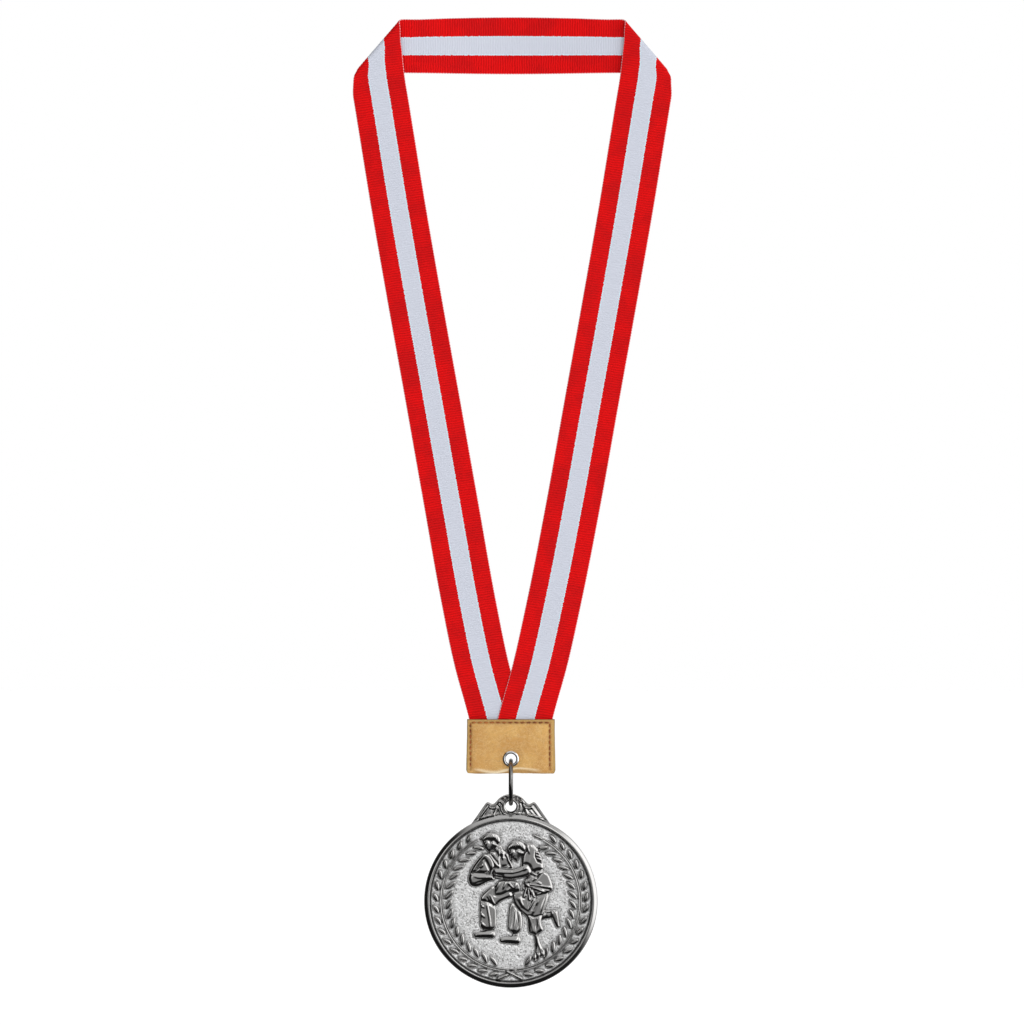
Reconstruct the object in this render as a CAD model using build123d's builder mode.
"""Sports medal on a neck ribbon: folded ribbon, stitched leather tab, eyelet, jump ring, cast medal.

Millimetres.  The medal hangs: +Z is up, the front faces -Y, and the origin is the middle of the
neck run, the stretch of ribbon that lies round the wearer's neck.
"""
import math
import os

from build123d import *

# ---------------------------------------------------------------- driving dimensions
# ribbon
ribbon_width = 22.0
ribbon_thickness = 0.45
fold_half_span = 56.2          # middle of each diagonal fold, either side of the centre
knee_half_span = 12.6          # where each leg starts to turn in towards the tab
knee_drop = 244.0
leg_foot_half_span = 6.5       # leg centreline at the tab's mouth
neck_run_setback = 1.65        # front face of the neck run behind the legs' meeting plane
fold_corner_radius = 2.0       # the soft outer corner of each fold

# leather tab
tab_width = 35.8
tab_height = 21.8
tab_top_drop = 271.7           # tab's mouth below the neck run
leather_thickness = 1.2
ribbon_depth_in_tab = 11.5
bend_above_tab = 1.0           # the ribbon bends this far above the tab's mouth
bend_gap = 0.5                 # room left in the ribbon where it bends

# stitching
thread_diameter = 0.6
thread_hole_clearance = 0.06
stitch_pitch = 2.4
stitch_inset_top = 1.3
stitch_inset_left = 1.65
stitch_inset_right = 2.2
stitch_end_above_fold = 2.3

# eyelet and washer
eyelet_bore = 4.2
eyelet_wall = 0.4
eyelet_flange_diameter = 6.8
eyelet_flange_thickness = 0.6
eyelet_above_tab_bottom = 5.8
eyelet_hole_clearance = 0.05
washer_diameter = 8.4
washer_thickness = 0.4

# jump ring
ring_wire = 1.8
ring_inner_diameter = 15.6
ring_play_at_eyelet = 0.5      # wire's inner side above the bottom of the eyelet's throat
ring_play_at_medal = 0.3       # wire's inner side below the top of the medal's hole

# medal
medal_diameter = 70.0
rim_thickness = 4.2
rim_width = 2.4
rim_outer_slope = 1.3
rim_outer_drop = 0.8
field_recess_front = 1.2
field_recess_back = 0.6
lug_thickness = 2.6
lug_hole_diameter = 4.4
lug_hole_above_centre = 38.2
lug_bead_width = 0.75
lug_bead_height = 0.35
lug_window_width = 2.2
lug_window_height = 2.5
lug_window_offset = 5.1
lug_window_depth = 0.8
lug_root_overlap = 1.0

# wreath
stem_radius = 28.0
stem_width = 0.8
stem_height = 0.5
leaf_length = 3.6
leaf_width = 1.7
leaf_height = 0.7
leaf_pitch_angle = 8.9
leaves_per_row = 17
leaf_start_angle = 10.0        # from the medal's foot
stem_end_angle = 158.0
outer_leaf_radius = 30.6
outer_leaf_tilt = 27.0
inner_leaf_radius = 24.9
inner_leaf_tilt = 38.0

# figures
figure_back_height = 0.7
figure_front_height = 1.0

# ---------------------------------------------------------------- derived places
tab_top_z = -tab_top_drop
tab_bottom_z = tab_top_z - tab_height
bend_z = tab_top_z + bend_above_tab
leg_foot_z = bend_z + bend_gap
ply_inner_y = ribbon_thickness
ply_outer_y = ribbon_thickness + leather_thickness
eyelet_z = tab_bottom_z + eyelet_above_tab_bottom
barrel_diameter = eyelet_bore + 2 * eyelet_wall
throat_bottom_z = eyelet_z - eyelet_bore / 2
ring_inner_top_z = throat_bottom_z + ring_play_at_eyelet
ring_z = ring_inner_top_z - ring_inner_diameter / 2
ring_radius = (ring_inner_diameter + ring_wire) / 2
ring_inner_bottom_z = ring_z - ring_inner_diameter / 2
lug_hole_z = ring_inner_bottom_z + ring_play_at_medal - lug_hole_diameter / 2
medal_z = lug_hole_z - lug_hole_above_centre
medal_radius = medal_diameter / 2
rim_face_y = rim_thickness / 2
field_front_y = -(rim_face_y - field_recess_front)
field_back_y = rim_face_y - field_recess_back

os.makedirs("parts", exist_ok=True)


def front_plane(height=0.0, y=0.0):
    """A sketch plane seen from the front: local x is +X, local y is +Z, extrusion goes to -Y."""
    return Plane(origin=(0, y, height), x_dir=(1, 0, 0), z_dir=(0, -1, 0))


# ---------------------------------------------------------------- ribbon
def leg_centreline(side):
    """Fold, knee and foot of one leg's centreline in the front view, from the top down."""
    return [
        Vector(side * fold_half_span, 0),
        Vector(side * knee_half_span, -knee_drop),
        Vector(side * leg_foot_half_span, tab_top_z),
    ]


def strip_edge(points, start_line, end_height, offset):
    """One edge of a strip along points: from a crease line, by its knee, to a level end."""
    upper = (points[1] - points[0]).normalized()
    lower = (points[2] - points[1]).normalized()
    upper_side = Vector(-upper.Y, upper.X) * offset
    lower_side = Vector(-lower.Y, lower.X) * offset
    crease_point, crease_direction = start_line
    gap = points[0] + upper_side - crease_point
    cross = crease_direction.X * upper.Y - crease_direction.Y * upper.X
    along = (gap.X * crease_direction.Y - gap.Y * crease_direction.X) / cross
    first = points[0] + upper_side + upper * along
    knee = points[1] + (upper_side + lower_side) * (offset ** 2 / (offset ** 2 + upper_side.dot(lower_side)))
    foot = points[1] + lower_side
    last = foot + lower * ((end_height - foot.Y) / lower.Y)
    return first, knee, last


def crease(side):
    """The diagonal fold: a point on it, and its direction down and away from the centre."""
    points = leg_centreline(side)
    leg = (points[1] - points[0]).normalized()
    direction = (Vector(side, 0) + leg).normalized()
    return points[0], direction


def acute_corner(sketch):
    """The sketch's corner that lies furthest from the centre line."""
    return sorted(sketch.vertices(), key=lambda corner: abs(corner.X))[-1]


def make_leg(side, name):
    """One leg, from its fold to just above the tab; the left leg lies behind the right one."""
    points = leg_centreline(side)
    line = crease(side)
    right_edge = strip_edge(points, line, leg_foot_z, ribbon_width / 2)
    left_edge = strip_edge(points, line, leg_foot_z, -ribbon_width / 2)
    back_face = ribbon_thickness if side < 0 else 0.0
    with BuildPart() as leg:
        with BuildSketch(front_plane(0, back_face)) as outline:
            with BuildLine():
                Polyline(*right_edge, *reversed(left_edge), close=True)
            make_face()
            fillet(acute_corner(outline), fold_corner_radius)
        extrude(amount=ribbon_thickness)
    leg.part.label = name
    export_step(leg.part, f"parts/{name}.step")


def make_fold(side, name):
    """The half-round turn that takes one leg back to the neck run, along its diagonal crease."""
    point, direction = crease(side)
    outward = Vector(-direction.Y * side, direction.X * side)
    leg_front = -ribbon_thickness if side > 0 else 0.0
    neck_back = neck_run_setback + ribbon_thickness
    outer_radius = (neck_back - leg_front) / 2
    axis_y = (neck_back + leg_front) / 2
    half_length = ribbon_width / 2 / abs(direction.Y)
    corner_cut = fold_corner_radius * 1.8
    top = point - direction * half_length
    across = Plane(
        origin=(top.X, axis_y, top.Y),
        x_dir=(-outward.X, 0, -outward.Y),
        z_dir=(direction.X, 0, direction.Y),
    )
    with BuildPart() as fold:
        with BuildSketch(across):
            Circle(outer_radius)
            Circle(outer_radius - ribbon_thickness, mode=Mode.SUBTRACT)
            Rectangle(
                outer_radius + 1, 2 * outer_radius + 1, align=(Align.MIN, Align.CENTER), mode=Mode.SUBTRACT
            )
        extrude(amount=2 * half_length - corner_cut)
    fold.part.label = name
    export_step(fold.part, f"parts/{name}.step")


def make_ribbon_end(side, name):
    """The stretch of one leg that is sewn between the tab's plies, with its stitch holes."""
    points = leg_centreline(side)
    lower = (points[2] - points[1]).normalized()
    end_z = tab_top_z - ribbon_depth_in_tab
    half_level = ribbon_width / 2 / abs(lower.Y)
    top_x = points[2].X + lower.X / lower.Y * (bend_z - points[2].Y)
    end_x = points[2].X + lower.X / lower.Y * (end_z - points[2].Y)
    back_face = ribbon_thickness if side < 0 else 0.0
    with BuildPart() as end:
        with BuildSketch(front_plane(0, back_face)):
            with BuildLine():
                Polyline(
                    (top_x - half_level, bend_z),
                    (top_x + half_level, bend_z),
                    (end_x + half_level, end_z),
                    (end_x - half_level, end_z),
                    close=True,
                )
            make_face()
            with Locations(*stitch_points()):
                Circle(stitch_hole_radius, mode=Mode.SUBTRACT)
        extrude(amount=ribbon_thickness)
    end.part.label = name
    export_step(end.part, f"parts/{name}.step")


def make_neck_run():
    """The level stretch behind the neck, cut along both creases."""
    half = ribbon_width / 2
    point, direction = crease(1)
    slope = direction.X / direction.Y
    with BuildPart() as run:
        with BuildSketch(front_plane(0, neck_run_setback + ribbon_thickness)) as outline:
            with BuildLine():
                Polyline(
                    (point.X + half * slope, half),
                    (point.X - half * slope, -half),
                    (-point.X + half * slope, -half),
                    (-point.X - half * slope, half),
                    close=True,
                )
            make_face()
            low = sorted(outline.vertices(), key=lambda corner: corner.Z)[:2]
            fillet(low, fold_corner_radius)
        extrude(amount=ribbon_thickness)
    run.part.label = "ribbon_neck_run"
    export_step(run.part, "parts/ribbon_neck_run.step")


# ---------------------------------------------------------------- leather tab and its stitching
stitch_hole_radius = thread_diameter / 2 + thread_hole_clearance


def stitch_points():
    """Needle holes from the left column's foot, up, across the top row and down the right column."""
    left = -tab_width / 2 + stitch_inset_left
    right = tab_width / 2 - stitch_inset_right
    top = tab_top_z - stitch_inset_top
    foot = tab_bottom_z + stitch_end_above_fold
    rises = round((top - foot) / stitch_pitch)
    steps = round((right - left) / stitch_pitch)
    rise = (top - foot) / rises
    step = (right - left) / steps
    left_column = [(left, foot + rise * i) for i in range(rises)]
    top_row = [(left + step * i, top) for i in range(steps)]
    right_column = [(right, top - rise * i) for i in range(rises + 1)]
    return left_column + top_row + right_column


def make_tab():
    """A leather strip folded at its foot round the ribbon ends, open at its mouth."""
    fold_z = tab_bottom_z + ply_outer_y
    with BuildPart() as tab:
        with BuildSketch(Plane(origin=(-tab_width / 2, 0, 0), x_dir=(0, 1, 0), z_dir=(1, 0, 0))):
            with BuildLine():
                Polyline(
                    (-ply_inner_y, fold_z), (-ply_inner_y, tab_top_z), (-ply_outer_y, tab_top_z),
                    (-ply_outer_y, fold_z),
                )
                ThreePointArc((-ply_outer_y, fold_z), (0, tab_bottom_z), (ply_outer_y, fold_z))
                Polyline(
                    (ply_outer_y, fold_z), (ply_outer_y, tab_top_z), (ply_inner_y, tab_top_z),
                    (ply_inner_y, fold_z),
                )
                ThreePointArc(
                    (ply_inner_y, fold_z), (0, fold_z - ply_inner_y), (-ply_inner_y, fold_z)
                )
            make_face()
        extrude(amount=tab_width)
        side_edges = tab.edges().filter_by(Axis.Z).group_by(Axis.Y)
        fillet(side_edges[0] + side_edges[-1], leather_thickness / 4)
        with BuildSketch(front_plane(0, ply_outer_y)):
            with Locations(*stitch_points()):
                Circle(stitch_hole_radius)
            with Locations((0, eyelet_z)):
                Circle(barrel_diameter / 2 + eyelet_hole_clearance)
        extrude(amount=2 * ply_outer_y, mode=Mode.SUBTRACT)
    tab.part.label = "tab_leather"
    export_step(tab.part, "parts/tab_leather.step")


def make_thread(name, face):
    """The thread on one face: a run from hole to hole, and a post to the tab's middle in each."""
    holes = stitch_points()
    surface_y = face * ply_outer_y
    with BuildPart() as thread:
        with BuildSketch(front_plane()):
            with Locations(*holes):
                Circle(thread_diameter / 2)
        extrude(amount=-surface_y)
        with BuildSketch(front_plane(0, surface_y)):
            for (x, z), (next_x, next_z) in zip(holes, holes[1:]):
                span = math.hypot(next_x - x, next_z - z)
                turn = math.degrees(math.atan2(next_z - z, next_x - x))
                with Locations(Location(((x + next_x) / 2, (z + next_z) / 2), turn)):
                    SlotCenterToCenter(span, thread_diameter)
        extrude(amount=-face * thread_diameter)
    thread.part.label = name
    export_step(thread.part, f"parts/{name}.step")


# ---------------------------------------------------------------- eyelet, washer and jump ring
def make_eyelet():
    """A rolled brass-style eyelet: flange in front, barrel through both plies, curl behind."""
    bore_axis = Axis((0, 0, eyelet_z), (0, 1, 0))
    front = -ply_outer_y
    back = ply_outer_y + washer_thickness
    inner = eyelet_bore / 2
    outer = barrel_diameter / 2
    flange = eyelet_flange_diameter / 2
    lip = eyelet_flange_thickness
    with BuildPart() as eyelet:
        with BuildSketch(Plane(origin=(0, 0, eyelet_z), x_dir=(1, 0, 0), z_dir=(0, 0, 1))) as profile:
            with BuildLine():
                Polyline(
                    (inner, front - lip), (flange, front - lip), (flange, front), (outer, front),
                    (outer, back), (flange - lip / 2, back), (flange - lip / 2, back + lip),
                    (inner, back + lip),
                    close=True,
                )
            make_face()
            by_y = profile.vertices().group_by(Axis.Y)
            fillet(by_y[0] + by_y[-1], lip * 0.45)
        revolve(axis=bore_axis)
    eyelet.part.label = "eyelet"
    export_step(eyelet.part, "parts/eyelet.step")


def make_washer():
    """The flat washer under the eyelet's rear curl."""
    with BuildPart() as washer:
        with BuildSketch(front_plane(0, ply_outer_y + washer_thickness)):
            with Locations((0, eyelet_z)):
                Circle(washer_diameter / 2)
                Circle(barrel_diameter / 2 + eyelet_hole_clearance, mode=Mode.SUBTRACT)
        extrude(amount=washer_thickness)
    washer.part.label = "eyelet_washer"
    export_step(washer.part, "parts/eyelet_washer.step")


def make_jump_ring():
    """Round wire ring in the YZ plane, through the eyelet and the medal's hole."""
    with BuildPart() as ring:
        with BuildSketch(Plane.XZ):
            with Locations((0, ring_z + ring_radius)):
                Circle(ring_wire / 2)
        revolve(axis=Axis((0, 0, ring_z), (1, 0, 0)))
    ring.part.label = "jump_ring"
    export_step(ring.part, "parts/jump_ring.step")


# ---------------------------------------------------------------- medal
def lug_outline():
    """The crown-shaped lug above the disc: dome, dip, wing and slope, mirrored left to right."""
    hole = lug_hole_above_centre
    shoulder = (6.3, hole + 1.7)
    wing = (8.4, hole + 1.4)
    slope = (10.5, hole + 0.7)
    foot = (16.2, hole - 7.4)
    with BuildSketch(mode=Mode.PRIVATE) as outline:
        with BuildLine():
            ThreePointArc((0, hole + 5.0), (4.2, hole + 3.7), shoulder)
            ThreePointArc(shoulder, (7.4, hole + 1.0), wing)
            ThreePointArc(wing, (9.5, hole + 1.75), slope)
            Polyline(slope, foot, (0, foot[1]), (0, hole + 5.0))
        make_face()
        mirror(about=Plane.YZ)
        Circle(medal_radius - lug_root_overlap, mode=Mode.SUBTRACT)
    return outline.sketch


def leaf_outline():
    """One pointed leaf lying along local x."""
    with BuildSketch(mode=Mode.PRIVATE) as leaf:
        with BuildLine():
            ThreePointArc((-leaf_length / 2, 0), (-leaf_length * 0.1, leaf_width / 2), (leaf_length / 2, 0))
            ThreePointArc((leaf_length / 2, 0), (-leaf_length * 0.1, -leaf_width / 2), (-leaf_length / 2, 0))
        make_face()
    return leaf.sketch


def wreath_places():
    """Place and direction of every leaf: both rows of the right half, then the left half."""
    places = []
    for side in (1, -1):
        for i in range(leaves_per_row):
            angle = leaf_start_angle + leaf_pitch_angle * i
            for radius, tilt in ((outer_leaf_radius, -outer_leaf_tilt), (inner_leaf_radius, inner_leaf_tilt)):
                x = side * radius * math.sin(math.radians(angle))
                z = -radius * math.cos(math.radians(angle))
                heading = angle + tilt if side > 0 else 180 - angle - tilt
                places.append(Location((x, z), heading))
    return places


# Each limb is a rounded bar: from, to, width.
left_wrestler = [
    ((-7.5, 22.1), (-7.3, 22.3), 8.0),        # head
    ((-6.6, 18.0), (-5.4, 15.0), 4.0),        # neck
    ((-6.0, 14.8), (-3.4, 4.6), 9.0),         # trunk
    ((-11.2, 16.2), (-15.0, 9.4), 4.0),       # upper arm
    ((-15.0, 8.6), (-8.0, 8.4), 3.6),         # forearm
    ((-14.4, 8.0), (-14.2, 6.6), 4.4),        # cuff
    ((-4.0, 2.4), (-10.2, -0.6), 4.8),        # front thigh
    ((-9.4, -1.0), (-9.2, -10.0), 6.4),       # front shin
    ((-7.4, -14.5), (-14.6, -14.4), 2.2),     # front foot
    ((-1.4, 3.6), (1.6, -2.4), 5.2),          # rear thigh
    ((1.6, -2.8), (1.5, -11.2), 5.4),         # rear shin
    ((2.6, -16.6), (-4.2, -16.2), 2.4),       # rear foot
]
right_wrestler = [
    ((2.2, 19.2), (2.3, 19.6), 7.0),          # head
    ((7.0, 20.4), (10.0, 12.6), 6.4),         # shoulders
    ((9.0, 14.4), (12.6, 6.6), 8.6),          # back
    ((12.2, 6.8), (8.0, 3.8), 6.0),           # jacket skirt
    ((-6.2, 10.8), (6.4, 10.6), 4.2),         # long arm
    ((8.8, 2.6), (8.4, -5.0), 7.6),           # standing thigh
    ((9.0, -6.0), (9.8, -11.6), 5.2),         # standing shin
    ((10.6, -14.6), (10.8, -19.6), 2.8),      # ankle
    ((10.4, -20.4), (5.6, -24.8), 2.2),       # foot
    ((12.0, -6.2), (17.2, -4.8), 2.8),        # lifted shin
    ((17.8, -5.4), (19.0, -11.0), 1.8),       # lifted foot
]


def limb(start, end, width):
    """A round-ended bar from start to end in the current sketch."""
    span = math.hypot(end[0] - start[0], end[1] - start[1])
    turn = math.degrees(math.atan2(end[1] - start[1], end[0] - start[0]))
    with Locations(Location(((start[0] + end[0]) / 2, (start[1] + end[1]) / 2), turn)):
        SlotCenterToCenter(span, width)


def make_medal():
    """The one-piece casting: rim, field, lug, wreath and the two wrestlers in low relief."""
    axis = Axis((0, 0, medal_z), (0, 1, 0))
    rim_inner = medal_radius - rim_width
    ridge = medal_radius - rim_outer_slope
    rim_side_y = rim_face_y - rim_outer_drop
    lug_front_y = -lug_thickness / 2
    hole = (0, lug_hole_above_centre)
    with BuildPart() as medal:
        with BuildSketch(Plane(origin=(0, 0, medal_z), x_dir=(1, 0, 0), z_dir=(0, 0, 1))):
            with BuildLine():
                Polyline(
                    (0, field_front_y), (rim_inner, field_front_y), (rim_inner + 0.3, -rim_face_y),
                    (ridge, -rim_face_y), (medal_radius, -rim_side_y), (medal_radius, rim_side_y),
                    (ridge, rim_face_y), (rim_inner, rim_face_y), (rim_inner, field_back_y),
                    (0, field_back_y),
                    close=True,
                )
            make_face()
        revolve(axis=axis)
        with BuildSketch(front_plane(medal_z, -lug_front_y)):
            add(lug_outline())
        extrude(amount=lug_thickness)
        with BuildSketch(front_plane(medal_z, lug_front_y)):
            with Locations(hole):
                Circle(lug_hole_diameter / 2 + lug_bead_width)
        extrude(amount=lug_bead_height)
        with BuildSketch(front_plane(medal_z, -rim_face_y)):
            with Locations(hole):
                Circle(lug_hole_diameter / 2)
        extrude(amount=-rim_thickness, mode=Mode.SUBTRACT)
        with BuildSketch(front_plane(medal_z, lug_front_y)):
            with Locations(*[(side * lug_window_offset, lug_hole_above_centre - 3.2) for side in (-1, 1)]):
                Trapezoid(lug_window_width, lug_window_height, 70)
        extrude(amount=-lug_window_depth, mode=Mode.SUBTRACT)
        with BuildSketch(front_plane(medal_z, field_front_y)):
            half_turn = stem_end_angle
            with BuildLine():
                CenterArc((0, 0), stem_radius, -90 - half_turn, 2 * half_turn)
            trace(line_width=stem_width)
        extrude(amount=stem_height)
        with BuildSketch(front_plane(medal_z, field_front_y)):
            leaf = leaf_outline()
            with Locations(*wreath_places()):
                add(leaf)
        extrude(amount=leaf_height)
        for wrestler, height in ((left_wrestler, figure_back_height), (right_wrestler, figure_front_height)):
            with BuildSketch(front_plane(medal_z, field_front_y)):
                for start, end, width in wrestler:
                    limb(start, end, width)
            extrude(amount=height)
    medal.part.label = "medal"
    export_step(medal.part, "parts/medal.step")


# ---------------------------------------------------------------- build
make_neck_run()
for side, place in ((-1, "left"), (1, "right")):
    make_leg(side, f"ribbon_leg_{place}")
    make_fold(side, f"ribbon_fold_{place}")
    make_ribbon_end(side, f"ribbon_end_{place}")
make_tab()
make_thread("thread_front", -1)
make_thread("thread_back", 1)
make_eyelet()
make_washer()
make_jump_ring()
make_medal()
print("bend z", bend_z, "eyelet z", eyelet_z, "ring z", ring_z, "lug hole z", lug_hole_z, "medal z", medal_z)
